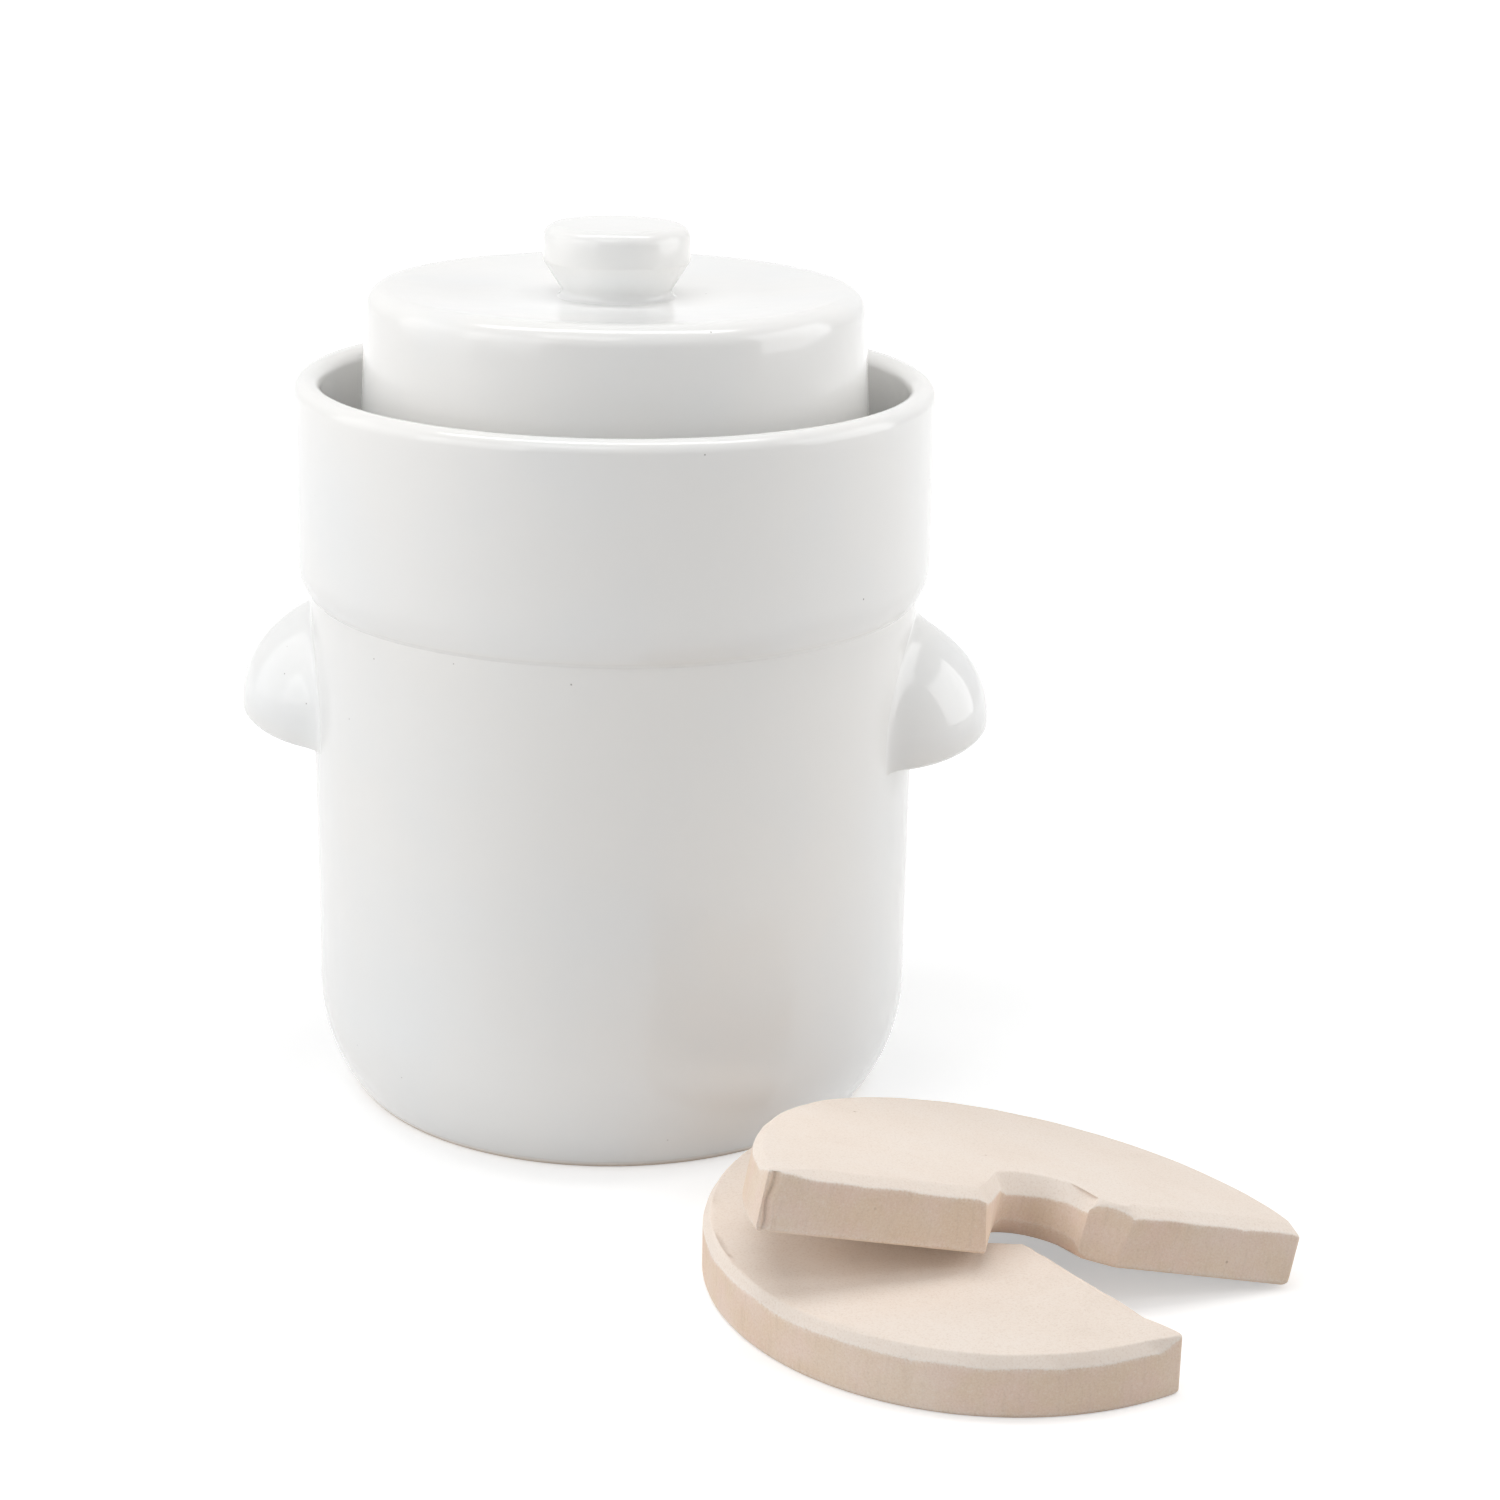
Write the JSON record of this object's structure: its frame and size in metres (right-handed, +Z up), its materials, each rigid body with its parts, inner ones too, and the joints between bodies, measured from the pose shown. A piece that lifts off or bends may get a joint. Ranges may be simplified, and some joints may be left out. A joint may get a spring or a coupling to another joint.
{
  "type": "fermentation crock",
  "caption": "Glazed stoneware fermentation crock with ear lugs and a tall water collar, a loose lid whose skirt stands in the water, and a weighting stone cut in half-discs.",
  "frame": {"origin": "on the floor at the crock's own axis, at the middle of its foot ring", "axes": "+Z up along the crock's axis, X through the two lugs, -Y the front, where the half stones lie"},
  "size_m": [0.2902, 0.2806, 0.2419],
  "materials": {
    "glaze": "glossy off-white glaze with sparse dark specks",
    "fired_clay": "matt unglazed fired clay, fine grain, trimmed edges"
  },
  "bodies": {
    "crock": {"pot": "glaze", "water_collar": "glaze", "lug_right": "glaze", "lug_left": "glaze"},
    "lid": {"lid": "glaze", "lid_knob": "glaze"},
    "stone_flat": {"stone_flat": "fired_clay"},
    "stone_leaning": {"stone_leaning": "fired_clay"}
  },
  "joints": [
    {"name": "lid_lift", "type": "slide", "parent": "crock", "child": "lid", "axis": [0, 0, 1], "range_m": [0, 0.12]},
    {"name": "stone_flat_lift", "type": "slide", "parent": "crock", "child": "stone_flat", "axis": [0, 0, 1], "range_m": [0, 0.25]},
    {"name": "stone_leaning_lift", "type": "slide", "parent": "stone_flat", "child": "stone_leaning", "axis": [0, 0, 1], "range_m": [0, 0.12]}
  ]
}
